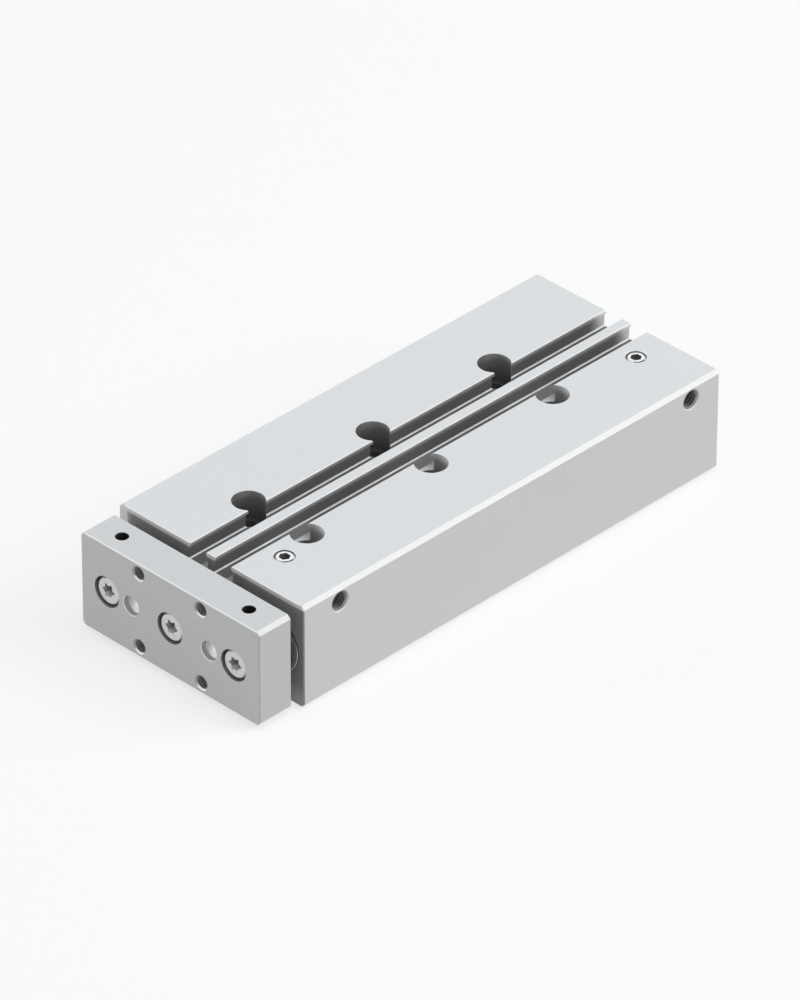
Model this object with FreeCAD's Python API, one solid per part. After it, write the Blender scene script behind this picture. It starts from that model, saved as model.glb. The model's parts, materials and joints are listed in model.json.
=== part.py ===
import FreeCAD, Part
import os
from math import cos, pi, radians, sin, tan

# A guided pneumatic cylinder: an extruded housing holds a piston between two caps, and a yoke plate
# joins the piston rod to two guide rods that run in bushes on either side.
# Millimetres. X runs across the housing towards the air ports, Y from the yoke plate to the rear, Z up.
# The origin is the centre of the housing's underside, and the slide is drawn back.

# Driving dimensions: travel and housing outline
stroke = 80.0
housing_height = 27.6
housing_side_wall = 1.9      # outside face to the wiper's seat
housing_chamfer = 0.95
edge_break = 0.25            # light bevel on end faces and slot lips

# Clearances
seat_clearance = 0.02        # fixed round pieces in their seats, on the radius
running_clearance = 0.04     # rods in bushes and seals on sliding faces, on the radius
piston_clearance = 0.15      # piston halves in the bore, on the radius
stop_clearance = 0.2         # piston to bumper at each end of the travel

# Cylinder bore, caps and their retaining rings
bore_diameter = 12.0
cap_seat_step = 1.0          # cap seat beyond the bore, on the radius
cap_seat_length = 6.0
cap_nose_room = 0.5          # air space round a cap's nose, on the radius
front_nose_length = 6.7
rear_nose_length = 9.5
bumper_thickness = 1.5
bumper_rod_room = 0.5        # front bumper round the rod, on the radius
ring_setback = 1.2           # end face to the retaining ring
ring_thickness = 1.0
ring_groove_depth = 0.5
ring_radial_width = 1.5
ring_gap_angle = 50.0
ring_lug_diameter = 2.6
ring_lug_hole = 1.2
cap_groove_width = 1.8
cap_groove_depth = 1.15
cap_groove_setback = 2.2     # cap's outer face to the groove
cap_edge_chamfer = 0.4
cap_puller_diameter = 3.2
cap_puller_depth = 4.0

# Piston and its rod
rod_diameter = 6.0
rod_spigot_diameter = 3.0
rod_chamfer = 0.4
rod_seal_width = 1.5         # rod to the seal's seat
rod_seal_depth = 2.6
piston_half_length = 8.0
piston_edge_chamfer = 0.5
piston_hub_wall = 1.2
magnet_length = 4.0
wear_ring_thickness = 0.75
seal_groove_setback = 1.8
seal_groove_width = 2.6
seal_groove_depth = 1.8
seal_lip_notch = 0.9
nut_wall = 1.25              # spigot to the nut's flats
nut_height = 2.4
nut_room = 0.5               # free space round and behind the nut in the rear cap
spigot_overhang = 0.3        # spigot past the nut

# Guides
guide_spacing = 40.8
guide_rod_diameter = 10.0
guide_rod_chamfer = 0.8
guide_bush_wall = 1.0
guide_bush_length = 18.0
guide_bush_chamfer = 0.3
guide_rear_overhang = 2.0    # guide rod past the rear bush when fully out
guide_end_room = 2.0         # rod end to cover when drawn back
wiper_seat_step = 1.4        # wiper seat beyond the guide bore, on the radius
wiper_depth = 3.2
wiper_stand_out = 0.2        # rim in front of the housing's face
wiper_edge_chamfer = 0.12
wiper_lip_depth = 1.0
wiper_rim_wall = 1.1
guide_mouth_chamfer = 0.25
cover_length = 4.0
cover_setback = 0.4
cover_rim_wall = 2.0
cover_dish_depth = 1.2

# Yoke plate and its screws
yoke_thickness = 10.0
yoke_gap = 3.0
yoke_margin = 1.0
yoke_chamfer = 0.95
yoke_pocket_depth = 2.5
screw_diameter = 4.0
screw_length = 16.0
screw_head_diameter = 7.0
screw_head_height = 2.8
screw_head_chamfer = 0.3
screw_recess = 0.5           # head below the plate's front face
screw_head_room = 0.5        # counterbore round the head, on the radius
screw_shank_room = 0.15      # plate's hole round the shank, on the radius
screw_hole_run_out = 2.0     # rod's threaded hole past the screw's tip
lobe_socket_diameter = 3.9
lobe_socket_depth = 1.6
lobe_count = 6
lobe_notch_diameter = 1.7    # rounded ribs between the lobes
lobe_notch_depth = 0.55
yoke_thread_spacing = 20.0   # across the plate
yoke_thread_edge = 2.8       # thread axes to the plate's top and bottom faces
yoke_thread_diameter = 4.0
centring_diameter = 5.0
centring_screw_wall = 1.4    # between a centring hole and the guide screw's counterbore
centring_depth = 1.5
centring_tip_angle = 120.0
centring_chamfer = 0.15
yoke_top_hole_diameter = 3.3
yoke_top_hole_depth = 8.0

# Housing: sensor slots, mounting holes and air ports
slot_mouth = 5.1
slot_rib = 2.9               # rib between the two slots, at the top face
slot_undercut = 0.55         # slot behind its lips, on each side
slot_lip = 0.9
slot_flare = 0.6
slot_floor_wall = 1.7        # slot floor to the retaining ring's groove
slot_corner = 0.3
mount_spacing = 18.8
mount_pitch = 40.0
mount_first = 21.2
mount_rear_margin = 25.0
mount_hole_diameter = 4.3
mount_counterbore_diameter = 8.0
mount_counterbore_depth = 7.0
mount_thread_diameter = 5.0
mount_thread_depth = 10.0
mount_thread_chamfer = 0.2
port_thread_diameter = 5.0
port_thread_depth = 6.0
port_core_diameter = 4.2
port_chamfer = 0.25
port_front_setback = 3.3     # port axis behind the front cap's seat
port_rear_setback = 1.3      # port axis in front of the rear cap's seat
air_passage_diameter = 2.0
plug_offset = 12.0           # plugs from the middle plane
plug_end_room = 0.65         # plug's inner end to the side port's axis
plug_recess = 0.25
plug_chamfer = 0.55
plug_socket_width = 2.5
plug_socket_depth = 1.8

# Sizes that follow from the driving dimensions
bore_radius = bore_diameter / 2
seat_radius = bore_radius + cap_seat_step
nose_radius = bore_radius - cap_nose_room
rod_seal_radius = rod_diameter / 2 + rod_seal_width
magnet_radius = bore_radius - running_clearance - wear_ring_thickness - seat_clearance
hub_radius = rod_spigot_diameter / 2 + piston_hub_wall
spigot_hole_radius = rod_spigot_diameter / 2 + seat_clearance
nut_across_flats = rod_spigot_diameter + 2 * nut_wall
nut_recess_radius = nut_across_flats / 2 / cos(pi / 6) + nut_room
guide_bore_diameter = guide_rod_diameter + 2 * guide_bush_wall
wiper_seat_diameter = guide_bore_diameter + 2 * wiper_seat_step
housing_width = guide_spacing + wiper_seat_diameter + 2 * housing_side_wall
slot_depth = housing_height / 2 - seat_radius - ring_groove_depth - slot_floor_wall
counterbore_diameter = screw_head_diameter + 2 * screw_head_room
centring_offset = (guide_spacing - counterbore_diameter - centring_diameter) / 2 - centring_screw_wall
piston_length = 2 * piston_half_length + magnet_length
cap_depth = ring_setback + ring_thickness
seat_end = cap_depth + cap_seat_length
front_stack = seat_end + front_nose_length + bumper_thickness
rear_stack = seat_end + rear_nose_length + bumper_thickness
housing_length = front_stack + rear_stack + piston_length + stroke + 2 * stop_clearance

# Places that follow from them
axis_height = housing_height / 2
front_face = -housing_length / 2
rear_face = housing_length / 2
piston_front_face = rear_face - rear_stack - stop_clearance - piston_length
piston_rear_face = piston_front_face + piston_length
yoke_back = front_face - yoke_gap
yoke_front = yoke_back - yoke_thickness
yoke_width = housing_width - 2 * yoke_margin
yoke_bottom = yoke_margin
yoke_top = housing_height - yoke_margin
rod_front = yoke_back - yoke_pocket_depth
screw_seat = yoke_front + screw_recess + screw_head_height
guide_sides = {"left": -guide_spacing / 2, "right": guide_spacing / 2}
rod_places = [(0.0, rod_diameter)] + [(x, guide_rod_diameter) for x in guide_sides.values()]
guide_rod_end = rear_face - cover_setback - cover_length - guide_end_room
front_bush_start = front_face + wiper_depth
rear_bush_start = guide_rod_end - stroke - guide_rear_overhang - guide_bush_length
slot_offset = (slot_rib + slot_mouth) / 2
mount_rows = int((housing_length - mount_first - mount_rear_margin) // mount_pitch) + 1
port_height = (axis_height + guide_bore_diameter / 2 + housing_height) / 2
plug_length = housing_height - port_height - plug_recess - plug_end_room
ports = {
    "front": front_face + seat_end + port_front_setback,
    "rear": rear_face - seat_end - port_rear_setback,
}


def vector(x, y, z):
    return FreeCAD.Vector(x, y, z)


ALONG_X = vector(1, 0, 0)
ALONG_Y = vector(0, 1, 0)
ALONG_Z = vector(0, 0, 1)


def polygon_face(points):
    return Part.Face(Part.makePolygon(points + points[:1]))


def turned(profile, x=0.0):
    """Solid of revolution about the line along Y at x, from corners given as (place on Y, radius)."""
    face = polygon_face([vector(x, y, axis_height + radius) for y, radius in profile])
    return face.revolve(vector(x, 0, axis_height), ALONG_Y, 360)


def round_bar(diameter, start, end, x=0.0):
    return Part.makeCylinder(diameter / 2, end - start, vector(x, start, axis_height), ALONG_Y)


def hexagon_bar(across_flats, base, direction, length):
    """Hexagonal prism that stands on its base point along a direction."""
    corner_radius = across_flats / 2 / cos(pi / 6)
    corners = [vector(corner_radius * cos(k * pi / 3), corner_radius * sin(k * pi / 3), 0) for k in range(6)]
    prism = polygon_face(corners).extrude(vector(0, 0, length))
    prism.Placement = FreeCAD.Placement(base, FreeCAD.Rotation(ALONG_Z, direction))
    return prism


def countersunk(diameter, chamfer, mouth, inward, depth):
    """Tool for a round hole with a 45 degree chamfer at its mouth."""
    hole = Part.makeCylinder(diameter / 2, depth, mouth, inward)
    return hole.fuse(Part.makeCone(diameter / 2 + chamfer, diameter / 2, chamfer, mouth, inward))


def bevelled_bar(width, bottom, top, chamfer, start, length):
    """Bar along Y whose four long edges are bevelled and whose ends are lightly broken."""
    half = width / 2
    corners = [
        (-half + chamfer, bottom), (half - chamfer, bottom), (half, bottom + chamfer), (half, top - chamfer),
        (half - chamfer, top), (-half + chamfer, top), (-half, top - chamfer), (-half, bottom + chamfer),
    ]
    bar = polygon_face([vector(x, start, z) for x, z in corners]).extrude(vector(0, length, 0))
    end_edges = [edge for edge in bar.Edges if edge.BoundBox.YLength < edge_break]
    return bar.makeChamfer(edge_break, end_edges)


def sensor_slot(x):
    """Undercut slot along the housing's top face: lips, flared undercut and sloped floor corners."""
    mouth = slot_mouth / 2
    inner = mouth + slot_undercut
    half_section = [
        (mouth + edge_break, 0.0), (mouth, edge_break), (mouth, slot_lip), (inner, slot_lip + slot_flare),
        (inner, slot_depth - slot_corner), (inner - slot_corner, slot_depth),
    ]
    section = half_section + [(-across, depth) for across, depth in reversed(half_section)]
    points = [vector(x + across, front_face, housing_height - depth) for across, depth in section]
    return polygon_face(points).extrude(vector(0, housing_length, 0))


def mount_holes():
    """Rows of counterbored holes that take a screw from above or a larger thread from below."""
    tools = []
    for row in range(mount_rows):
        for x in (-mount_spacing / 2, mount_spacing / 2):
            y = front_face + mount_first + row * mount_pitch
            top = vector(x, y, housing_height - mount_counterbore_depth)
            tools.append(Part.makeCylinder(mount_hole_diameter / 2, housing_height, vector(x, y, 0)))
            tools.append(Part.makeCylinder(mount_counterbore_diameter / 2, mount_counterbore_depth, top))
            tools.append(countersunk(mount_thread_diameter, mount_thread_chamfer, vector(x, y, 0), ALONG_Z,
                                     mount_thread_depth))
    return tools


def air_way(y):
    """Side port, top port and the slanting passage that joins them to the cylinder bore."""
    side = vector(housing_width / 2, y, port_height)
    top = vector(plug_offset, y, housing_height)
    junction = vector(plug_offset, y, port_height)
    bore_point = vector(bore_radius * cos(pi / 6), y, axis_height + bore_radius * sin(pi / 6))
    slant = bore_point - junction
    return [
        countersunk(port_thread_diameter, port_chamfer, side, -ALONG_X, port_thread_depth),
        Part.makeCylinder(port_core_diameter / 2, housing_width / 2 - plug_offset, junction, ALONG_X),
        countersunk(port_thread_diameter, port_chamfer, top, -ALONG_Z, housing_height - port_height),
        Part.makeSphere(port_core_diameter / 2, junction),
        Part.makeCylinder(air_passage_diameter / 2, slant.Length, junction, slant),
    ]


def cap_bore(face, inward):
    """Stepped end of the cylinder bore at one face: cap seat and retaining ring groove."""
    seat = Part.makeCylinder(seat_radius, seat_end, vector(0, face, axis_height), ALONG_Y * inward)
    groove = Part.makeCylinder(seat_radius + ring_groove_depth, ring_thickness,
                               vector(0, face + inward * ring_setback, axis_height), ALONG_Y * inward)
    return [seat, groove]


def guide_bore(x):
    mouth = vector(x, front_face, axis_height)
    wiper_seat = countersunk(wiper_seat_diameter, guide_mouth_chamfer, mouth, ALONG_Y, wiper_depth)
    return [round_bar(guide_bore_diameter, front_face, rear_face, x), wiper_seat]


def make_housing():
    body = bevelled_bar(housing_width, 0.0, housing_height, housing_chamfer, front_face, housing_length)
    tools = [sensor_slot(-slot_offset), sensor_slot(slot_offset)]
    tools.append(round_bar(bore_diameter, front_face, rear_face))
    tools += cap_bore(front_face, 1) + cap_bore(rear_face, -1)
    for x in guide_sides.values():
        tools += guide_bore(x)
    for y in ports.values():
        tools += air_way(y)
    return body.cut(tools + mount_holes())


def cap_profile(face, inward, nose_length):
    """Corners of a cap from its outer face to its nose, with the O-ring groove, as (place on Y, radius)."""
    seat = seat_radius - seat_clearance
    root = seat - cap_groove_depth
    groove = cap_depth + cap_groove_setback
    corners = [
        (cap_depth, seat - cap_edge_chamfer), (cap_depth + cap_edge_chamfer, seat),
        (groove, seat), (groove, root), (groove + cap_groove_width, root), (groove + cap_groove_width, seat),
        (seat_end, seat), (seat_end, nose_radius), (seat_end + nose_length, nose_radius),
    ]
    return [(face + inward * depth, radius) for depth, radius in corners]


def make_rod_bearing_cap():
    bearing = rod_diameter / 2 + running_clearance
    inner = [
        (front_face + seat_end + front_nose_length, bearing),
        (front_face + cap_depth + rod_seal_depth, bearing),
        (front_face + cap_depth + rod_seal_depth, rod_seal_radius),
        (front_face + cap_depth, rod_seal_radius),
    ]
    return turned(cap_profile(front_face, 1, front_nose_length) + inner)


def make_end_cap():
    recess_depth = nut_height + spigot_overhang + nut_room - stop_clearance - bumper_thickness
    nose_end = rear_face - seat_end - rear_nose_length
    recess_floor = nose_end + recess_depth
    outer_face = rear_face - cap_depth
    puller = cap_puller_diameter / 2
    inner = [
        (nose_end, nut_recess_radius), (recess_floor, nut_recess_radius), (recess_floor, 0.0),
        (outer_face - cap_puller_depth, 0.0), (outer_face - cap_puller_depth, puller), (outer_face, puller),
    ]
    return turned(cap_profile(rear_face, -1, rear_nose_length) + inner)


def make_cap_o_ring(face, inward):
    """O-ring as it sits in its groove, squeezed flat against the seat and the groove's root."""
    outer = seat_radius - seat_clearance
    root = seat_radius - cap_groove_depth
    centre = face + inward * (cap_depth + cap_groove_setback + cap_groove_width / 2)
    half = (outer - root) / 2
    flat = half * tan(pi / 8)
    middle = (outer + root) / 2
    return turned([
        (centre - half, middle - flat), (centre - half, middle + flat), (centre - flat, outer),
        (centre + flat, outer), (centre + half, middle + flat), (centre + half, middle - flat),
        (centre + flat, root), (centre - flat, root),
    ])


def make_retaining_ring(face, inward):
    """Open spring ring with two pierced lugs, its gap at the top."""
    outer = seat_radius + ring_groove_depth - seat_clearance
    inner = outer - ring_radial_width
    start = vector(0, face + inward * ring_setback, axis_height)
    along = ALONG_Y * inward
    ring = Part.makeCylinder(outer, ring_thickness, start, along)
    ring = ring.cut(Part.makeCylinder(inner, ring_thickness, start, along))
    half_gap = radians(ring_gap_angle / 2)
    reach = outer / cos(half_gap)
    wedge = polygon_face([
        start, start + vector(reach * sin(half_gap), 0, reach * cos(half_gap)),
        start + vector(-reach * sin(half_gap), 0, reach * cos(half_gap)),
    ]).extrude(along * ring_thickness)
    ring = ring.cut(wedge)
    lug_angle = half_gap + ring_lug_diameter / 2 / inner
    for side in (-1, 1):
        place = start + vector(side * inner * sin(lug_angle), 0, inner * cos(lug_angle))
        ring = ring.fuse(Part.makeCylinder(ring_lug_diameter / 2, ring_thickness, place, along))
        ring = ring.cut(Part.makeCylinder(ring_lug_hole / 2, ring_thickness, place, along))
    return ring.removeSplitter()


def make_bumper(face, inward, nose_length, hole_radius):
    start = face + inward * (seat_end + nose_length)
    end = start + inward * bumper_thickness
    return turned([(start, hole_radius), (start, nose_radius), (end, nose_radius), (end, hole_radius)])


def make_rod_seal():
    """Lip seal in the front of the bearing cap: thin lip on the rod, groove behind it."""
    start = front_face + cap_depth
    end = start + rod_seal_depth
    outer = rod_seal_radius - seat_clearance
    lip = rod_diameter / 2 + running_clearance
    middle = (outer + lip) / 2
    return turned([
        (start, lip), (start, middle - seal_lip_notch / 2), (start + seal_lip_notch, middle),
        (start, middle + seal_lip_notch / 2), (start, outer), (end, outer), (end, lip),
    ])


def make_guide_bush(start, x):
    outer = guide_bore_diameter / 2 - seat_clearance
    inner = guide_rod_diameter / 2 + running_clearance
    end = start + guide_bush_length
    lead = guide_bush_chamfer
    return turned([
        (start, inner + lead), (start, outer - lead), (start + lead, outer), (end - lead, outer),
        (end, outer - lead), (end, inner + lead), (end - lead, inner), (start + lead, inner),
    ], x)


def make_guide_wiper(x):
    """Wiper ring: a rim seated in the housing and a sloping lip that reaches the guide rod."""
    outer = wiper_seat_diameter / 2 - seat_clearance
    lip = guide_rod_diameter / 2 + running_clearance
    start = front_face - wiper_stand_out
    end = front_face + wiper_depth
    shoulder = outer - wiper_rim_wall
    return turned([
        (start, shoulder), (start, outer - wiper_edge_chamfer), (start + wiper_edge_chamfer, outer),
        (end, outer), (end, lip + wiper_lip_depth),
        (start + wiper_lip_depth, lip), (start + wiper_lip_depth / 2, lip),
        (start + wiper_lip_depth, shoulder),
    ], x)


def make_guide_cover(x):
    outer = guide_bore_diameter / 2 - seat_clearance
    end = rear_face - cover_setback
    start = end - cover_length
    dish = outer - cover_rim_wall
    dish_floor = end - cover_dish_depth
    lead = guide_bush_chamfer
    return turned([
        (start, 0.0), (start, outer - lead), (start + lead, outer), (end - lead, outer), (end, outer - lead),
        (end, dish), (dish_floor, dish - cover_dish_depth), (dish_floor, 0.0),
    ], x)


def make_port_plug(y):
    """Headless screw with a hexagon socket, its bevelled end just below the top face."""
    radius = port_thread_diameter / 2 - seat_clearance
    top = housing_height - plug_recess

    def down(depth):
        return vector(plug_offset, y, top - depth)

    body = Part.makeCylinder(radius, plug_length - plug_chamfer, down(plug_length))
    bevel = Part.makeCone(radius, radius - plug_chamfer, plug_chamfer, down(plug_chamfer))
    socket = hexagon_bar(plug_socket_width, down(plug_socket_depth), ALONG_Z, plug_socket_depth)
    return body.fuse(bevel).cut(socket)


def make_yoke_plate():
    plate = bevelled_bar(yoke_width, yoke_bottom, yoke_top, yoke_chamfer, yoke_front, yoke_thickness)
    shank_hole = screw_diameter + 2 * screw_shank_room
    tools = []
    for x, diameter in rod_places:
        tools.append(round_bar(shank_hole, yoke_front, yoke_back, x))
        tools.append(round_bar(counterbore_diameter, yoke_front, screw_seat, x))
        tools.append(round_bar(diameter + 2 * seat_clearance, rod_front, yoke_back, x))
    for x in (-yoke_thread_spacing / 2, yoke_thread_spacing / 2):
        for z in (yoke_bottom + yoke_thread_edge, yoke_top - yoke_thread_edge):
            mouth = vector(x, yoke_front, z)
            tools.append(Part.makeCylinder(yoke_thread_diameter / 2, yoke_thickness, mouth, ALONG_Y))
    radius = centring_diameter / 2
    tip = radius / tan(radians(centring_tip_angle / 2))
    for x in (-centring_offset, centring_offset):
        mouth = vector(x, yoke_front, axis_height)
        tools.append(countersunk(centring_diameter, centring_chamfer, mouth, ALONG_Y, centring_depth))
        tools.append(Part.makeCone(radius, 0.0, tip, mouth + ALONG_Y * centring_depth, ALONG_Y))
    for x in guide_sides.values():
        mouth = vector(x, yoke_front + yoke_thickness / 2, yoke_top)
        tools.append(Part.makeCylinder(yoke_top_hole_diameter / 2, yoke_top_hole_depth, mouth, -ALONG_Z))
    return plate.cut(tools)


def lobe_socket(x, start):
    """Six-lobe socket: a round hole with rounded ribs left standing between the lobes."""
    hole = round_bar(lobe_socket_diameter, start, start + lobe_socket_depth, x)
    pitch_radius = (lobe_socket_diameter + lobe_notch_diameter) / 2 - lobe_notch_depth
    ribs = []
    for k in range(lobe_count):
        angle = 2 * pi * (k + 0.5) / lobe_count
        foot = vector(x + pitch_radius * cos(angle), start, axis_height + pitch_radius * sin(angle))
        ribs.append(Part.makeCylinder(lobe_notch_diameter / 2, lobe_socket_depth, foot, ALONG_Y))
    return hole.cut(ribs)


def make_yoke_screw(x):
    head_front = yoke_front + screw_recess
    head = screw_head_diameter / 2
    shank = screw_diameter / 2
    tip = screw_seat + screw_length
    blank = turned([
        (head_front, 0.0), (head_front, head - screw_head_chamfer), (head_front + screw_head_chamfer, head),
        (screw_seat, head), (screw_seat, shank), (tip - screw_head_chamfer, shank),
        (tip, shank - screw_head_chamfer), (tip, 0.0),
    ], x)
    return blank.cut(lobe_socket(x, head_front))


def rod_screw_hole(x):
    end = screw_seat + screw_length + screw_hole_run_out
    return round_bar(screw_diameter + 2 * seat_clearance, rod_front, end, x)


def make_piston_rod():
    radius = rod_diameter / 2
    spigot = rod_spigot_diameter / 2
    tip = piston_rear_face + nut_height + spigot_overhang
    rod = turned([
        (rod_front, 0.0), (rod_front, radius - rod_chamfer), (rod_front + rod_chamfer, radius),
        (piston_front_face, radius), (piston_front_face, spigot), (tip - rod_chamfer, spigot),
        (tip, spigot - rod_chamfer), (tip, 0.0),
    ])
    return rod.cut(rod_screw_hole(0.0))


def make_guide_rod(x):
    radius = guide_rod_diameter / 2
    lead = guide_rod_chamfer
    end = guide_rod_end
    rod = turned([
        (rod_front, 0.0), (rod_front, radius - lead), (rod_front + lead, radius),
        (end - lead, radius), (end, radius - lead), (end, 0.0),
    ], x)
    return rod.cut(rod_screw_hole(x))


def piston_half_profile(end_face, inward):
    """Corners of a piston half from its end face inwards, with the seal groove."""
    outer = bore_radius - piston_clearance
    root = outer - seal_groove_depth
    groove_end = seal_groove_setback + seal_groove_width
    corners = [
        (0.0, spigot_hole_radius), (0.0, outer - piston_edge_chamfer), (piston_edge_chamfer, outer),
        (seal_groove_setback, outer), (seal_groove_setback, root), (groove_end, root), (groove_end, outer),
        (piston_half_length, outer),
    ]
    return [(end_face + inward * depth, radius) for depth, radius in corners]


def make_piston_front():
    inner_face = piston_front_face + piston_half_length
    return turned(piston_half_profile(piston_front_face, 1) + [(inner_face, spigot_hole_radius)])


def make_piston_rear():
    """Rear half, with the hub that carries the magnet."""
    inner_face = piston_rear_face - piston_half_length
    hub_end = inner_face - magnet_length
    return turned(piston_half_profile(piston_rear_face, -1) + [
        (inner_face, hub_radius), (hub_end, hub_radius), (hub_end, spigot_hole_radius),
    ])


def magnet_band(inner, outer):
    start = piston_front_face + piston_half_length
    end = start + magnet_length
    return turned([(start, inner), (start, outer), (end, outer), (end, inner)])


def make_piston_magnet():
    return magnet_band(hub_radius + seat_clearance, magnet_radius)


def make_piston_wear_ring():
    return magnet_band(magnet_radius + seat_clearance, bore_radius - running_clearance)


def make_piston_seal(end_face, inward):
    """Lip seal in a piston half, its grooved side towards the pressure."""
    outer = bore_radius - running_clearance
    inner = bore_radius - piston_clearance - seal_groove_depth + seat_clearance
    middle = (outer + inner) / 2
    near = seal_groove_setback
    far = near + seal_groove_width
    corners = [
        (near, inner), (near, middle - seal_lip_notch / 2), (near + seal_lip_notch, middle),
        (near, middle + seal_lip_notch / 2), (near, outer), (far, outer - piston_clearance), (far, inner),
    ]
    return turned([(end_face + inward * depth, radius) for depth, radius in corners])


def make_piston_nut():
    base = vector(0, piston_rear_face, axis_height)
    nut = hexagon_bar(nut_across_flats, base, ALONG_Y, nut_height)
    thread = rod_spigot_diameter + 2 * seat_clearance
    return nut.cut(round_bar(thread, piston_rear_face, piston_rear_face + nut_height))


def all_nodes():
    nodes = {
        "housing": make_housing(),
        "rod_bearing_cap": make_rod_bearing_cap(),
        "rod_seal": make_rod_seal(),
        "bearing_cap_o_ring": make_cap_o_ring(front_face, 1),
        "front_bumper": make_bumper(front_face, 1, front_nose_length, rod_diameter / 2 + bumper_rod_room),
        "front_retaining_ring": make_retaining_ring(front_face, 1),
        "end_cap": make_end_cap(),
        "end_cap_o_ring": make_cap_o_ring(rear_face, -1),
        "rear_bumper": make_bumper(rear_face, -1, rear_nose_length, nut_recess_radius),
        "rear_retaining_ring": make_retaining_ring(rear_face, -1),
        "yoke_plate": make_yoke_plate(),
        "yoke_screws": Part.makeCompound([make_yoke_screw(x) for x, _ in rod_places]),
        "piston_rod": make_piston_rod(),
        "piston_front": make_piston_front(),
        "piston_rear": make_piston_rear(),
        "piston_magnet": make_piston_magnet(),
        "piston_wear_ring": make_piston_wear_ring(),
        "piston_seal_front": make_piston_seal(piston_front_face, 1),
        "piston_seal_rear": make_piston_seal(piston_rear_face, -1),
        "piston_nut": make_piston_nut(),
    }
    for side, x in guide_sides.items():
        nodes["guide_rod_" + side] = make_guide_rod(x)
        nodes["guide_wiper_" + side] = make_guide_wiper(x)
        nodes["guide_bush_front_" + side] = make_guide_bush(front_bush_start, x)
        nodes["guide_bush_rear_" + side] = make_guide_bush(rear_bush_start, x)
        nodes["guide_cover_" + side] = make_guide_cover(x)
    for end, y in ports.items():
        nodes["port_plug_" + end] = make_port_plug(y)
    return nodes


os.makedirs("parts", exist_ok=True)
for name, shape in all_nodes().items():
    shape.exportStep("parts/" + name + ".step")
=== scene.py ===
import bpy
import json
from math import radians
from mathutils import Matrix, Vector


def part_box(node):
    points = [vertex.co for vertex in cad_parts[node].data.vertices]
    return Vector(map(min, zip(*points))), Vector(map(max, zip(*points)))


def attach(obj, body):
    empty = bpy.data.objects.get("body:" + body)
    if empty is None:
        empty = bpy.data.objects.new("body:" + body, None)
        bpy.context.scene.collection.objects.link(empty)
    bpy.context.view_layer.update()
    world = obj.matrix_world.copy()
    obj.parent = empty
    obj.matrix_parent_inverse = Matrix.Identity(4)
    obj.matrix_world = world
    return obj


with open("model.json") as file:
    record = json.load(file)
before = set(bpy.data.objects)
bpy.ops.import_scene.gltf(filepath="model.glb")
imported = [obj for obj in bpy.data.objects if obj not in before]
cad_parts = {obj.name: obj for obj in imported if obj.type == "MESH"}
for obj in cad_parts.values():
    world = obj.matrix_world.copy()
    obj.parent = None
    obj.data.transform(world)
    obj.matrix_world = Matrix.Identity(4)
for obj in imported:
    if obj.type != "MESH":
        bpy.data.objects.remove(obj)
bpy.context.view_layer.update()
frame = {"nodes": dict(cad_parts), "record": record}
MM = 0.001
mounts = {mount["name"]: mount for mount in frame["record"]["mounts"]}

# Places that the finishes follow, in millimetres
housing_low, housing_high = [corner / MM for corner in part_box("housing")]
plate_low, plate_high = [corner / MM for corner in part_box("yoke_plate")]
plug_low, plug_high = [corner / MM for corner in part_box("port_plug_front")]
screw_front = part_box("yoke_screws")[0].y / MM
axis_height = mounts["yoke_threads"]["pos_m"][2] / MM
bevel_width = 0.95
cut_edge = 0.2

# Yoke plate: screws on three axes, M4 threads, centring holes and top holes
guide_x = mounts["yoke_top_threads"]["dims"]["spacing_x_mm"] / 2
screw_hole_radius = 4.0
screw_flat_radius = 3.2
screw_socket_radius = 1.95
shallow_holes = 4.0
thread_x = mounts["yoke_threads"]["dims"]["spacing_x_mm"] / 2
thread_z = mounts["yoke_threads"]["dims"]["spacing_y_mm"] / 2
thread_radius = mounts["yoke_threads"]["dims"]["hole_r_mm"]
centring_x = mounts["yoke_centring_holes"]["dims"]["spacing_x_mm"] / 2
centring_radius = mounts["yoke_centring_holes"]["dims"]["hole_r_mm"]
centring_depth = 1.5
top_hole_y = mounts["yoke_top_threads"]["pos_m"][1] / MM
top_hole_radius = mounts["yoke_top_threads"]["dims"]["hole_r_mm"]

# Sensor slots, with their walls measured from the slot's middle plane and their floor from the top face
slot_x = mounts["sensor_slot_right"]["pos_m"][0] / MM
slot_wall = 3.1
slot_floor = 4.6
slot_corner = 0.3

# Mounting holes, with the counterbore's floor measured from the top face
hole_x = mounts["base_bolts_outer"]["dims"]["spacing_x_mm"] / 2
hole_y = mounts["base_bolts_outer"]["pos_m"][1] / MM
hole_pitch = mounts["base_bolts_outer"]["dims"]["spacing_y_mm"] / 2
hole_radius = mounts["base_bolts_outer"]["dims"]["hole_r_mm"]
counterbore_radius = 4.0
counterbore_floor = 7.0
shank_radius = 2.15

# Air ports and plugs, with the places where their painted shade begins
port_z = mounts["air_port_front"]["pos_m"][2] / MM
port_radius = mounts["air_port_front"]["dims"]["r_mm"]
port_shade_from_x = 17.0
port_places = [mounts["air_port_" + end]["pos_m"][1] / MM for end in ("front", "rear")]
port_middle = sum(port_places) / 2
port_half = (port_places[1] - port_places[0]) / 2
plug_x = (plug_low.x + plug_high.x) / 2
plug_seat_from_z = 20.0
plug_flat_radius = 1.93
plug_socket_radius = 1.5

# Wipers: where the moulded ring ends and the pressed rim begins
wiper_rim_radius = 7.15


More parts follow.
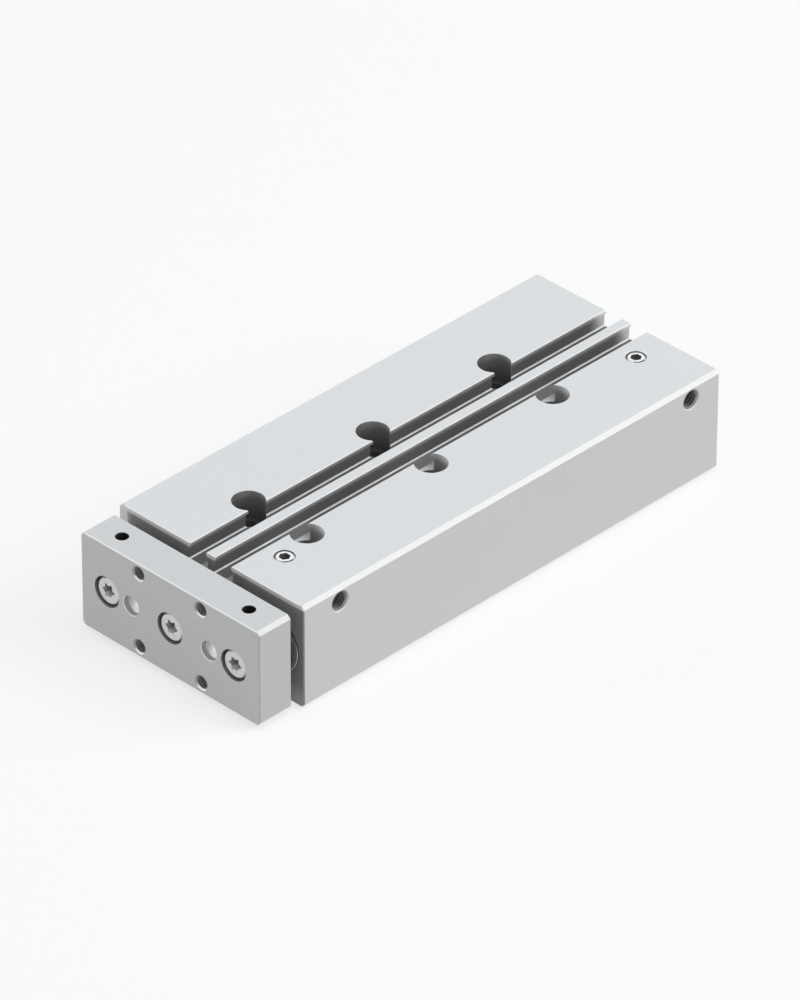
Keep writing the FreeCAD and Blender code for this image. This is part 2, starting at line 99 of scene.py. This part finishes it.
class Value:
    """A socket in a finish's node tree. Arithmetic on it adds Math nodes to the same tree."""

    def __init__(self, finish, socket):
        self.finish = finish
        self.socket = socket

    def math(self, operation, *inputs):
        return self.finish.node("Math", {"operation": operation}, dict(enumerate(inputs)))

    def __add__(self, other):
        return self.math("ADD", self, other)

    __radd__ = __add__

    def __sub__(self, other):
        return self.math("SUBTRACT", self, other)

    def __rsub__(self, other):
        return self.math("SUBTRACT", other, self)

    def __mul__(self, other):
        return self.math("MULTIPLY", self, other)

    __rmul__ = __mul__

    def __truediv__(self, other):
        return self.math("DIVIDE", self, other)

    def __pow__(self, other):
        return self.math("POWER", self, other)

    def __abs__(self):
        return self.math("ABSOLUTE", self)

    def at_least(self, other):
        return self.math("MAXIMUM", self, other)

    def wrapped(self, reach):
        """Repeats from -reach to reach."""
        return self.math("WRAP", self, reach, -reach)

    def ramp(self, start, end):
        """0 below start, 1 above end and smooth between them."""
        return self.finish.node("MapRange", {"interpolation_type": "SMOOTHSTEP"},
                                {"Value": self, "From Min": start, "From Max": end})


class Finish:
    """Node tree of one material, or of the world, built node by node."""

    def __init__(self, owner):
        owner.use_nodes = True
        self.owner = owner
        self.tree = owner.node_tree
        self.tree.nodes.clear()

    def node(self, kind, settings=None, sockets=None, output=0):
        made = self.tree.nodes.new("ShaderNode" + kind)
        for key, setting in (settings or {}).items():
            setattr(made, key, setting)
        for key, given in (sockets or {}).items():
            if isinstance(given, Value):
                self.tree.links.new(given.socket, made.inputs[key])
            else:
                made.inputs[key].default_value = given
        return Value(self, made.outputs[output]) if made.outputs else None

    def place(self):
        """Object coordinates in millimetres."""
        return self.scaled(self.node("TexCoord", output="Object"), 1.0 / MM)

    def parts(self, vector):
        split = self.node("SeparateXYZ", sockets={0: vector}).socket.node
        return [Value(self, socket) for socket in split.outputs]

    def joined(self, x, y, z):
        return self.node("CombineXYZ", sockets={0: x, 1: y, 2: z})

    def scaled(self, vector, factor):
        return self.node("VectorMath", {"operation": "SCALE"}, {0: vector, "Scale": factor})

    def stretched(self, vector, x, y, z):
        return self.node("VectorMath", {"operation": "MULTIPLY"}, {0: vector, 1: (x, y, z)})

    def noise(self, vector, scale, detail, roughness):
        return self.node("TexNoise", sockets={"Vector": vector, "Scale": scale, "Detail": detail,
                                              "Roughness": roughness})

    def tool_rings(self, radius, per_mm):
        """Fine rings that a turning tool leaves, from the distance to its axis."""
        return self.noise(self.joined(radius * per_mm, 0.0, 0.0), 1.0, 2.0, 0.6)

    def blend(self, factor, first, second):
        return self.node("Mix", {"data_type": "RGBA"}, {"Factor": factor, 6: first, 7: second}, output=2)

    def bump(self, height, strength, microns):
        relief = microns * 1e-6
        return self.node("Bump", sockets={"Height": height, "Strength": strength, "Distance": relief})

    def seen_directly(self):
        """1 for what the camera sees, straight, in reflections or through glass, and 0 for bounced light."""
        rays = self.node("LightPath").socket.node.outputs
        seen = Value(self, rays["Is Camera Ray"])
        for kind in ("Is Glossy Ray", "Is Transmission Ray"):
            seen = seen.at_least(Value(self, rays[kind]))
        return seen

    def surface(self, **sockets):
        names = {key.replace("_", " ").title(): given for key, given in sockets.items()}
        shader = self.node("BsdfPrincipled", sockets=names)
        self.node("OutputMaterial", sockets={"Surface": shader})
        return self.owner


def new_finish(name):
    return Finish(bpy.data.materials.new(name))


def colour(red, green, blue):
    return (red, green, blue, 1.0)


def between(outside, inside, mask):
    return outside + (inside - outside) * mask


def distance(first, second):
    return (first * first + second * second) ** 0.5


def round_hole(first, second, radius):
    """1 inside a circle of this radius, from the distances along two axes to its centre."""
    square = first * first + second * second
    return 1.0 - square.ramp(radius * radius, (radius + 0.1) ** 2)


def on_bevels(x, z, high):
    """1 on the long bevels of a bar round the axis, from the bar's highest corner."""
    reach = high.x + high.z - axis_height - bevel_width
    return (abs(x) + abs(z - axis_height)).ramp(reach - 0.07, reach - 0.02)


def anodised(name, pale, cool, lines, top, tone_at):
    """Satin anodised aluminium: drawn lines, etched grain, a cooler top face that is partly a painted
    reflection of the cool light overhead, bright metal where cut, and the painted light and shade of
    tone_at.
    """
    finish = new_finish(name)
    place = finish.place()
    x, y, z = finish.parts(place)
    drawn = finish.noise(finish.stretched(place, *lines), 1.0, 2.0, 0.6)
    etched = finish.noise(place, 9.0, 2.0, 0.6)
    cloud = finish.noise(place, 0.045, 3.0, 0.55)
    # Cooler tint: random clouds, and on the top face a painted reflection of the cool light overhead
    cool_cloud_and_top_sheen = cloud.ramp(0.3, 0.7) * 0.3 + z.ramp(top - 0.06, top - 0.02) * 0.7
    # tone_at gives painted shade and painted highlights, which scale the colour
    tone, cut = tone_at(x, y, z)
    shade = (0.94 + drawn * 0.06 + (etched - 0.5) * 0.05) * tone
    tint = finish.scaled(finish.blend(cool_cloud_and_top_sheen, colour(*pale), colour(*cool)), shade)
    rough = 0.40 + (drawn - 0.5) * 0.10 + (etched - 0.5) * 0.08
    normal = finish.bump(drawn * 0.6 + etched * 0.4, 0.10, 20)
    return finish.surface(base_color=tint, metallic=0.2 + cut * 0.5, roughness=rough, normal=normal)


def front_painted_shade(x, depth):
    """Tone of the housing's front face: darker in a thin line just under its top bevel, and a painted shadow
    of the plate below the plate's top and in from its left end.
    """
    plate_drop = housing_high.z - plate_high.z
    below_plate_top = depth.ramp(plate_drop - 0.1, plate_drop + 0.3)
    # Painted shadow of the plate on the face behind it
    painted_plate_shadow = below_plate_top * x.ramp(plate_low.x + 1.3, plate_low.x + 2.1)
    return 0.65 + depth.ramp(cut_edge + 0.02, cut_edge + 0.07) * 0.35 - painted_plate_shadow * 0.5


def slot_painted_light_and_shade(x, y, depth, along_holes, right):
    """Painted shade inside the sensor slots: walls darker downwards and lighter towards the rear end, a dark
    floor with painted light on its right and by the right slot's holes, and the floor's left corner at full
    tone.
    """
    across = (x - slot_x).wrapped(slot_x)
    # Painted shade on the walls, darker downwards, with painted light towards the rear end
    walls = 0.54 - depth.ramp(0.7, 2.3) * 0.31 + y.ramp(housing_high.y - 5.5, housing_high.y - 0.5) * 0.6
    beside_holes = (1.0 - abs(along_holes).ramp(2.0, 5.5)) * right
    behind_holes = (1.0 - abs(along_holes - 4.0).ramp(3.5, 5.5)) * right
    # Painted light on the floor's right side, stronger by the right slot's holes
    lit_floor = across.ramp(0.3, 0.9) * (0.25 + beside_holes * 0.5) + behind_holes * 0.13
    left_corner = 1.0 - across.ramp(slot_corner - slot_wall, slot_corner - slot_wall + 0.05)
    # Painted shade on the floor, except its left corner at full tone
    floor = between(0.2 + lit_floor, 1.0, left_corner)
    return between(walls, floor, depth.ramp(slot_floor - slot_corner, slot_floor - slot_corner + 0.05))


def hole_painted_light_and_shade(x, depth, along_holes, right):
    """Painted shade inside the mounting holes: darker downwards, painted light towards the right, darkest on
    the floor.
    """
    sideways = (x - hole_x).wrapped(hole_x) + along_holes
    # Painted light and shade on the bore walls, lighter towards the right
    left_bores = 0.4 + sideways.ramp(-5.5, 0.5) * 0.65
    right_bores = 1.35 + sideways.ramp(1.5, 5.0) * 0.4
    downwards = 0.7 - depth.ramp(0.3, 2.6) * 0.25 - depth.ramp(2.6, 6.8) * 0.13
    bore = downwards * between(left_bores, right_bores, right)
    shank = round_hole(abs(x) - hole_x, along_holes, shank_radius + 0.01)
    return between(bore, 0.1 + shank * 0.17, depth.ramp(counterbore_floor - 0.15, counterbore_floor - 0.05))


def housing_painted_light(x, y, z):
    """Tone and cut metal: full on the open faces, painted highlights on cut edges and long bevels, painted
    shade behind the plate and inside.
    """
    depth = housing_high.z - z
    right = x.ramp(-1.0, 1.0)
    along_holes = (y - hole_y).wrapped(hole_pitch / 2)
    open_holes = round_hole(abs(x) - hole_x, along_holes, counterbore_radius + 0.02)

    below = depth.ramp(cut_edge - 0.04, cut_edge)
    off_bevels = 1.0 - abs(x).ramp(housing_high.x - 2.2, housing_high.x - 1.7)
    edges = depth.ramp(0.01, 0.03) * (1.0 - below) * off_bevels * (1.0 - open_holes)
    front = below * (1.0 - y.ramp(housing_low.y + cut_edge, housing_low.y + cut_edge + 0.04))
    # Painted highlights along the cut edges of the top face and on the long bevels
    outside = 1.0 + edges * 0.2 + on_bevels(x, z, housing_high) * 0.09
    # The front face takes the plate's painted shadow
    tone = between(outside, front_painted_shade(x, depth), front)

    # Painted light and shade inside the sensor slots
    between_walls = 1.0 - abs(x).ramp(slot_x + slot_wall, slot_x + slot_wall + 0.1)
    above_floor = below * (1.0 - depth.ramp(slot_floor + 0.05, slot_floor + 0.2))
    slots = between_walls * above_floor * y.ramp(housing_low.y + 0.01, housing_low.y + 0.04)
    tone = between(tone, slot_painted_light_and_shade(x, y, depth, along_holes, right), slots)

    # Painted light and shade inside the mounting holes
    holes = open_holes * depth.ramp(0.05, 0.1) * z.ramp(0.3, 0.4)
    tone = between(tone, hole_painted_light_and_shade(x, depth, along_holes, right), holes)

    # Painted shade inside the air ports, darker towards the bottom of the bore
    along_ports = abs(y - port_middle) - port_half
    behind_mouth = 1.0 - x.ramp(housing_high.x - 0.35, housing_high.x - 0.25)
    drilled = x.ramp(port_shade_from_x, port_shade_from_x + 1.0) * behind_mouth
    ports = round_hole(along_ports, z - port_z, port_radius + 0.1) * drilled
    tone = between(tone, 0.28 + (z - port_z).ramp(-2.2, -0.8) * 0.19, ports)
    # Painted shade round the plugs in their seats
    seated = depth.ramp(cut_edge, cut_edge + 0.05) * z.ramp(plug_seat_from_z, plug_seat_from_z + 1.0)
    plug_seats = round_hole(along_ports, x - plug_x, port_radius + 0.1) * seated
    return between(tone, 0.36, plug_seats), edges * 1.5


def plate_painted_light(x, y, z):
    """Tone and cut metal: full in front, painted highlights on cut edges, countersinks and centring floors,
    painted shade in holes and behind.
    """
    depth = y - plate_low.y
    up = z - axis_height
    inside = depth.ramp(0.02, 0.06)
    shallow = inside * (1.0 - depth.ramp(shallow_holes, shallow_holes + 0.5))

    # Painted highlights on the top front bevel and on the long bevels
    edge = z.ramp(plate_high.z - 0.27, plate_high.z - 0.23) * (1.0 - depth.ramp(0.22, 0.26))
    outside = 1.0 + edge * 0.35 + on_bevels(x, z, plate_high) * 0.15
    # Painted shade on the rear face
    tone = between(outside, 0.8, y.ramp(plate_high.y - 0.1, plate_high.y - 0.05))

    # Painted shade in the screw holes
    screw_holes = round_hole(x.wrapped(guide_x / 2), up, screw_hole_radius + 0.05) * shallow
    tone = between(tone, 0.4, screw_holes)

    # Centring holes: walls in painted shade, painted highlights on the rim and on the floor's right side
    centring = round_hole(abs(x) - centring_x, up, centring_radius + 0.2) * shallow
    lit_side = (x - centring_x).wrapped(centring_x).ramp(-2.4, -0.2)
    floor = depth.ramp(centring_depth - 0.1, centring_depth) * (0.45 + lit_side * 0.55)
    rim = 1.0 - depth.ramp(0.13, 0.18)
    tone = between(tone, 0.85 + rim.at_least(floor) * 0.5, centring)

    # Threaded holes: painted shade inside, with a painted highlight on the mouth's low side
    threads = round_hole(abs(x) - thread_x, abs(up) - thread_z, thread_radius + 0.05) * inside
    mouth = 1.0 - depth.ramp(0.34, 0.44)
    low_side_highlight = 1.0 - (up - thread_z).wrapped(thread_z).ramp(-1.6, -0.8)
    tone = between(tone, 0.75 + mouth * (0.05 + low_side_highlight * 0.55), threads)

    # Painted shade deep in the top holes
    below_top = 1.0 - z.ramp(plate_high.z - 0.2, plate_high.z - 0.05)
    top_holes = round_hole(abs(x) - guide_x, y - top_hole_y, top_hole_radius + 0.05) * below_top
    cut = centring * (floor * floor + rim) + edge + threads * mouth * low_side_highlight
    return between(tone, 0.07, top_holes), cut


def turned_metal(name, dark, pale, rings_at, metallic, roughness, per_mm):
    """Turned or ground metal: fine tool rings, which rings_at places, and a little haze."""
    finish = new_finish(name)
    place = finish.place()
    groove = finish.tool_rings(rings_at(*finish.parts(place)), per_mm)
    haze = finish.noise(place, 1.3, 3.0, 0.55)
    tone = finish.blend(groove * 0.6 + haze * 0.4, colour(*dark), colour(*pale))
    rough = roughness + (groove - 0.5) * 0.14 + (haze - 0.5) * 0.10
    normal = finish.bump(groove, 0.15, 20)
    return finish.surface(base_color=tone, metallic=metallic, roughness=rough, normal=normal)


def round_bore_axis(x, y, z):
    """Rings round the cylinder's axis."""
    return distance(x, z - axis_height)


def along_rod(x, y, z):
    """Rings that follow one another along a ground rod."""
    return y


def speckled(name, dark, pale, metallic, roughness, grain, bump):
    """Sintered, phosphated or moulded surface: fine pores or grain and a slow change of tone."""
    finish = new_finish(name)
    place = finish.place()
    pores = finish.noise(place, grain, 3.0, 0.65)
    cloud = finish.noise(place, grain * 0.09, 2.0, 0.5)
    tone = finish.blend(pores.ramp(0.35, 0.65) * 0.7 + cloud * 0.3, colour(*dark), colour(*pale))
    rough = roughness + (pores - 0.5) * 0.18 + (cloud - 0.5) * 0.08
    normal = finish.bump(pores, bump, 30)
    return finish.surface(base_color=tone, metallic=metallic, roughness=rough, normal=normal)


def plug_finish():
    """Plated blanking plug: bright flat ring, a bevel in painted shade on two sides, and a socket in painted
    shade.
    """
    finish = new_finish("plated blanking plug")
    x, y, z = finish.parts(finish.place())
    across = x - plug_x
    along = (y - port_middle - port_half).wrapped(port_half)
    radius = distance(across, along)
    groove = finish.tool_rings(radius, 6.0)
    bevel = radius.ramp(plug_flat_radius, plug_flat_radius + 0.05)
    # Painted shade on the bevel's right and left sides
    right = ((across * 0.93 - along * 0.37) / radius).ramp(0.6, 0.9)
    left = 1.0 - (across / radius).ramp(-0.65, -0.3)
    head = between(0.95 + groove * 0.1, 1.0 - right * 0.96 - left * 0.6, bevel)
    within = 1.0 - radius.ramp(plug_socket_radius, plug_socket_radius + 0.05)
    socket = within * (1.0 - z.ramp(plug_high.z - 0.12, plug_high.z - 0.04))
    # Painted shade in the socket
    shade = finish.scaled((0.94, 0.95, 0.965), between(head, 0.36, socket))
    rough = 0.26 + (groove - 0.5) * 0.14
    normal = finish.bump(groove, 0.12, 20)
    return finish.surface(base_color=shade, metallic=0.7 - bevel * 0.6, roughness=rough, normal=normal)


def screw_finish():
    """Zinc plated screw: turned head with a painted highlight on its bevel, and a socket in painted shade
    that darkens towards its floor, with painted light on its outer tips.
    """
    finish = new_finish("zinc plated screw")
    place = finish.place()
    x, y, z = finish.parts(place)
    across = x.wrapped(guide_x / 2)
    up = z - axis_height
    depth = y - screw_front
    radius = distance(across, up)
    groove = finish.tool_rings(radius, 5.0)
    haze = finish.noise(place, 1.3, 3.0, 0.55)
    bevel = radius.ramp(screw_flat_radius - 0.02, screw_flat_radius + 0.04)
    # Painted highlight on the head's bevel
    head = 0.9 + groove * 0.12 + haze * 0.08 + bevel * 0.3
    # Painted light on the socket's outer tips, stronger to one side, and painted shade darker with depth
    lobe_highlights = radius.ramp(1.25, 1.6) * (0.85 + (across - up).ramp(-0.5, 1.5))
    inside = (0.42 + lobe_highlights) * (1.0 - depth.ramp(0.5, 1.5) * 0.4)
    within = 1.0 - radius.ramp(screw_socket_radius + 0.01, screw_socket_radius + 0.05)
    socket = within * depth.ramp(0.05, 0.15)
    shade = finish.scaled((0.70, 0.70, 0.695), between(head, inside, socket))
    rough = 0.32 + (groove - 0.5) * 0.14 + (haze - 0.5) * 0.10
    normal = finish.bump(groove, 0.15, 20)
    return finish.surface(base_color=shade, metallic=0.7 - socket * 0.6, roughness=rough, normal=normal)


def wiper_finish():
    """Grey moulded wiper in a pressed metal rim, with a painted highlight on the rim below the axis and
    painted shade above it.
    """
    finish = new_finish("moulded wiper with pressed rim")
    place = finish.place()
    x, _, z = finish.parts(place)
    up = z - axis_height
    rim = distance(abs(x) - guide_x, up).ramp(wiper_rim_radius, wiper_rim_radius + 0.05)
    grain = finish.noise(place, 6.0, 3.0, 0.6)
    moulded = finish.blend(grain, colour(0.21, 0.21, 0.214), colour(0.37, 0.37, 0.375))
    # Painted highlight on the rim below the axis, and painted shade above it
    pressed = finish.blend(up.ramp(0.0, 3.0), colour(0.40, 0.40, 0.395), colour(0.12, 0.12, 0.118))
    tone = finish.blend(rim, moulded, pressed)
    rough = between(0.5, 0.24, rim) + (grain - 0.5) * 0.12
    normal = finish.bump(grain, 0.15, 20)
    return finish.surface(base_color=tone, metallic=rim * 0.9, roughness=rough, normal=normal)


# Finishes of the record's material slots, and of the two kinds of node that have their own
finishes = {
    "anodised_housing": anodised(
        "satin anodised extrusion", pale=(0.825, 0.825, 0.825), cool=(0.798, 0.82, 0.836),
        lines=(7.0, 0.25, 7.0), top=housing_high.z, tone_at=housing_painted_light),
    "anodised_yoke": anodised(
        "satin anodised plate", pale=(0.728, 0.728, 0.728), cool=(0.70, 0.72, 0.735),
        lines=(0.4, 6.0, 6.0), top=plate_high.z, tone_at=plate_painted_light),
    "cap_aluminium": turned_metal(
        "turned aluminium", dark=(0.62, 0.63, 0.64), pale=(0.78, 0.79, 0.80),
        rings_at=round_bore_axis, metallic=0.9, roughness=0.34, per_mm=6.0),
    "ground_steel": turned_metal(
        "ground chromed steel", dark=(0.50, 0.505, 0.51), pale=(0.62, 0.625, 0.63),
        rings_at=along_rod, metallic=1.0, roughness=0.14, per_mm=9.0),
    "plated_screws": screw_finish(),
    "bearing_metal": speckled(
        "sintered bronze", dark=(0.34, 0.22, 0.10), pale=(0.58, 0.41, 0.21),
        metallic=0.9, roughness=0.42, grain=7.0, bump=0.3),
    "spring_steel": speckled(
        "phosphated spring steel", dark=(0.05, 0.05, 0.055), pale=(0.13, 0.13, 0.135),
        metallic=0.6, roughness=0.5, grain=6.0, bump=0.2),
    "seal_rubber": speckled(
        "moulded seal rubber", dark=(0.012, 0.012, 0.013), pale=(0.035, 0.035, 0.037),
        metallic=0.0, roughness=0.6, grain=5.0, bump=0.2),
    "cover_plastic": speckled(
        "moulded black plastic", dark=(0.016, 0.016, 0.017), pale=(0.04, 0.04, 0.042),
        metallic=0.0, roughness=0.5, grain=4.0, bump=0.25),
    "magnet": speckled(
        "sintered magnet", dark=(0.06, 0.06, 0.065), pale=(0.15, 0.15, 0.16),
        metallic=0.4, roughness=0.55, grain=8.0, bump=0.2),
}
own_finishes = {"port_plug": plug_finish(), "guide_wiper": wiper_finish()}
for subpart in frame["record"]["subparts"]:
    name = subpart["node"]
    kind = name.rsplit("_", 1)[0]
    worn = frame["nodes"][name].data.materials
    worn.clear()
    worn.append(own_finishes.get(kind, finishes[subpart["material_slot"]]))


def only_selected(piece):
    bpy.ops.object.select_all(action="DESELECT")
    piece.select_set(True)
    bpy.context.view_layer.objects.active = piece


def outline(points):
    """Closed outline in the XZ plane, extruded from point to point, ready to be swept round Z."""
    bpy.ops.object.select_all(action="DESELECT")
    bpy.ops.mesh.primitive_plane_add(size=1.0)
    section = bpy.context.object
    bpy.ops.object.mode_set(mode="EDIT")
    bpy.ops.mesh.select_all(action="SELECT")
    bpy.ops.mesh.merge(type="CENTER")
    across, up = points[0]
    bpy.ops.transform.translate(value=(across, 0.0, up))
    for (across, up), (next_across, next_up) in zip(points, points[1:]):
        step = (next_across - across, 0.0, next_up - up)
        bpy.ops.mesh.extrude_vertices_move(TRANSFORM_OT_translate={"value": step})
    bpy.ops.mesh.select_all(action="SELECT")
    bpy.ops.mesh.edge_face_add()
    bpy.ops.object.mode_set(mode="OBJECT")
    return section


def swept(section, turns, rise, steps):
    """Sweeps an outline round Z, closes its ends where they don't meet, and turns its faces outwards."""
    only_selected(section)
    coil = section.modifiers.new("coil", "SCREW")
    coil.axis = "Z"
    coil.screw_offset = rise
    coil.iterations = turns
    coil.steps = coil.render_steps = steps
    coil.use_merge_vertices = rise == 0.0
    coil.merge_threshold = 0.0001
    bpy.ops.object.modifier_apply(modifier="coil")
    bpy.ops.object.mode_set(mode="EDIT")
    bpy.ops.mesh.select_all(action="SELECT")
    bpy.ops.mesh.fill_holes(sides=8)
    bpy.ops.mesh.select_all(action="SELECT")
    bpy.ops.mesh.normals_make_consistent(inside=False)
    bpy.ops.object.mode_set(mode="OBJECT")
    return section


def thread(diameter, pitch, length, chamfer):
    """Internal thread down Z from the origin, sized in millimetres: a countersunk first turn and a ridge."""
    root = diameter / 2 + 0.02
    crest = diameter / 2 - 0.54 * pitch
    lead = root - crest
    turns = int((length - chamfer - lead) / pitch)
    bottom = -chamfer - lead - turns * pitch
    foot = 0.43 * pitch
    tip = 0.11 * pitch
    flanks = [(root, bottom - foot), (crest, bottom - tip), (crest, bottom + tip), (root, bottom + foot)]
    countersink = [(root, -chamfer), (crest, -chamfer - lead), (root, -chamfer - 1.6 * lead)]
    ridge = swept(outline(flanks), turns, pitch, steps=40)
    first_turn = swept(outline(countersink), 1, 0.0, steps=64)
    only_selected(ridge)
    first_turn.select_set(True)
    bpy.ops.object.join()
    ridge.scale = (MM, MM, MM)
    bpy.ops.object.transform_apply(location=False, rotation=False, scale=True)
    bpy.ops.object.shade_smooth_by_angle(angle=radians(35))
    return ridge


def fit_thread(name, pattern, mount, offset, body, slot):
    """Copy of a thread with a mesh of its own, set in one of a mount's holes and riding on its body."""
    only_selected(pattern)
    bpy.ops.object.duplicate()
    fitted = bpy.context.object
    fitted.name = name
    fitted.rotation_mode = "QUATERNION"
    fitted.rotation_quaternion = Vector(mount["axis"]).to_track_quat("Z", "Y")
    fitted.location = Vector(mount["pos_m"]) + offset
    bpy.ops.object.transform_apply(location=True, rotation=True, scale=False)
    fitted.data.materials.append(finishes[slot])
    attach(fitted, body)


def fit_pairs(kind, pattern, mount, rows, row_axis, body, slot):
    """Copies of a thread in a mount's left and right holes, row by row."""
    half_x = Vector((mount["dims"]["spacing_x_mm"] / 2, 0.0, 0.0)) * MM
    half_row = Vector(row_axis) * mount["dims"]["spacing_y_mm"] / 2 * MM
    for row, step in rows.items():
        for side, across in (("left", -1), ("right", 1)):
            name = "_".join((kind, row, side))
            offset = half_x * across + half_row * step
            fit_thread(name, pattern, mount, offset, body, slot)


# Threads: air ports, yoke plate and the mounting holes from below
port_thread = thread(2 * port_radius, pitch=0.8, length=5.8, chamfer=0.25)
plate_thread = thread(2 * thread_radius, pitch=0.7, length=9.8, chamfer=0.0)
base_thread = thread(2 * hole_radius, pitch=0.8, length=9.6, chamfer=0.2)
for end in ("front", "rear"):
    port = mounts["air_port_" + end]
    outwards = Vector(port["axis"]) * port["dims"]["length_mm"] / 2 * MM
    fit_thread("port_thread_" + end, port_thread, port, outwards, "cylinder_body", "anodised_housing")
fit_pairs("yoke_thread", plate_thread, mounts["yoke_threads"], {"lower": -1, "upper": 1}, (0.0, 0.0, 1.0),
          "slide", "anodised_yoke")
fit_pairs("base_thread", base_thread, mounts["base_bolts_outer"], {"front": -1, "middle": 0, "rear": 1},
          (0.0, 1.0, 0.0), "cylinder_body", "anodised_housing")
for pattern in (port_thread, plate_thread, base_thread):
    bpy.data.objects.remove(pattern)


def pale_floor():
    """Broad floor: white to the camera and in reflections, a quieter grey to light that bounces off it."""
    bpy.ops.object.select_all(action="DESELECT")
    bpy.ops.mesh.primitive_plane_add(size=8.0, location=(0.0, 0.0, -0.0001))
    floor = bpy.context.object
    floor.name = "floor"
    finish = new_finish("pale studio floor")
    seen = finish.seen_directly()
    tone = finish.blend(seen, colour(0.3, 0.3, 0.3), colour(0.97, 0.97, 0.97))
    matt = finish.node("BsdfDiffuse", sockets={"Color": tone})
    glow = finish.node("Emission", sockets={"Color": colour(1.0, 1.0, 1.0), "Strength": 1.0})
    mixed = finish.node("MixShader", sockets={0: seen * 0.7, 1: matt, 2: glow})
    finish.node("OutputMaterial", sockets={"Surface": mixed})
    floor.data.materials.append(finish.owner)


def soft_light(name, direction, size, power, tint):
    """Square soft box, aimed at the origin from some way off and out of sight in reflections."""
    metres_off = 2.6
    lamp = bpy.data.lights.new(name, "AREA")
    lamp.color = tint
    lamp.size = size
    lamp.energy = power
    box = bpy.data.objects.new(name, lamp)
    bpy.context.scene.collection.objects.link(box)
    box.visible_glossy = False
    box.location = Vector(direction).normalized() * metres_off
    box.rotation_mode = "QUATERNION"
    box.rotation_quaternion = Vector(direction).to_track_quat("Z", "Y")


def studio():
    """White surroundings that dim overhead, quiet as a source of light, and four soft boxes."""
    world = bpy.data.worlds.new("studio")
    bpy.context.scene.world = world
    finish = Finish(world)
    height = finish.parts(finish.node("TexCoord", output="Object"))[2]
    backdrop = 1.0 - height.ramp(0.62, 1.0) * 0.6
    strength = between(0.26, backdrop, finish.seen_directly())
    glow = finish.node("Background", sockets={"Color": colour(1.0, 1.0, 1.0), "Strength": strength})
    finish.node("OutputWorld", sockets={"Surface": glow})
    soft_light("top soft box", (0.12, 0.03, 1.0), size=1.2, power=22.5, tint=(0.96, 1.0, 1.03))
    soft_light("right soft box", (0.62, 0.50, 0.60), size=1.6, power=35.0, tint=(1.01, 1.0, 0.99))
    soft_light("front soft box", (-0.7, -1.0, 0.12), size=0.35, power=13.9, tint=(1.01, 1.0, 0.99))
    soft_light("left soft box", (-0.95, -0.15, 0.3), size=1.0, power=6.0, tint=(1.0, 1.0, 1.0))


def photograph_camera():
    """Camera fitted to the straight edges in the photograph."""
    view = bpy.data.cameras.new("camera")
    view.sensor_width = 36.0
    view.lens = 310.864
    view.clip_start = 0.05
    view.clip_end = 50.0
    camera = bpy.data.objects.new("camera", view)
    bpy.context.scene.collection.objects.link(camera)
    stand = Matrix.Translation((1.149998, -1.176762, 1.128021))
    turn = Matrix.Rotation(radians(44.5215), 4, "Z")
    tilt = Matrix.Rotation(radians(90.0 - 34.2047), 4, "X")
    roll = Matrix.Rotation(radians(0.1746), 4, "Z")
    camera.matrix_world = stand @ turn @ tilt @ roll
    bpy.context.scene.camera = camera


pale_floor()
studio()
photograph_camera()
bpy.context.scene.view_settings.view_transform = "Standard"
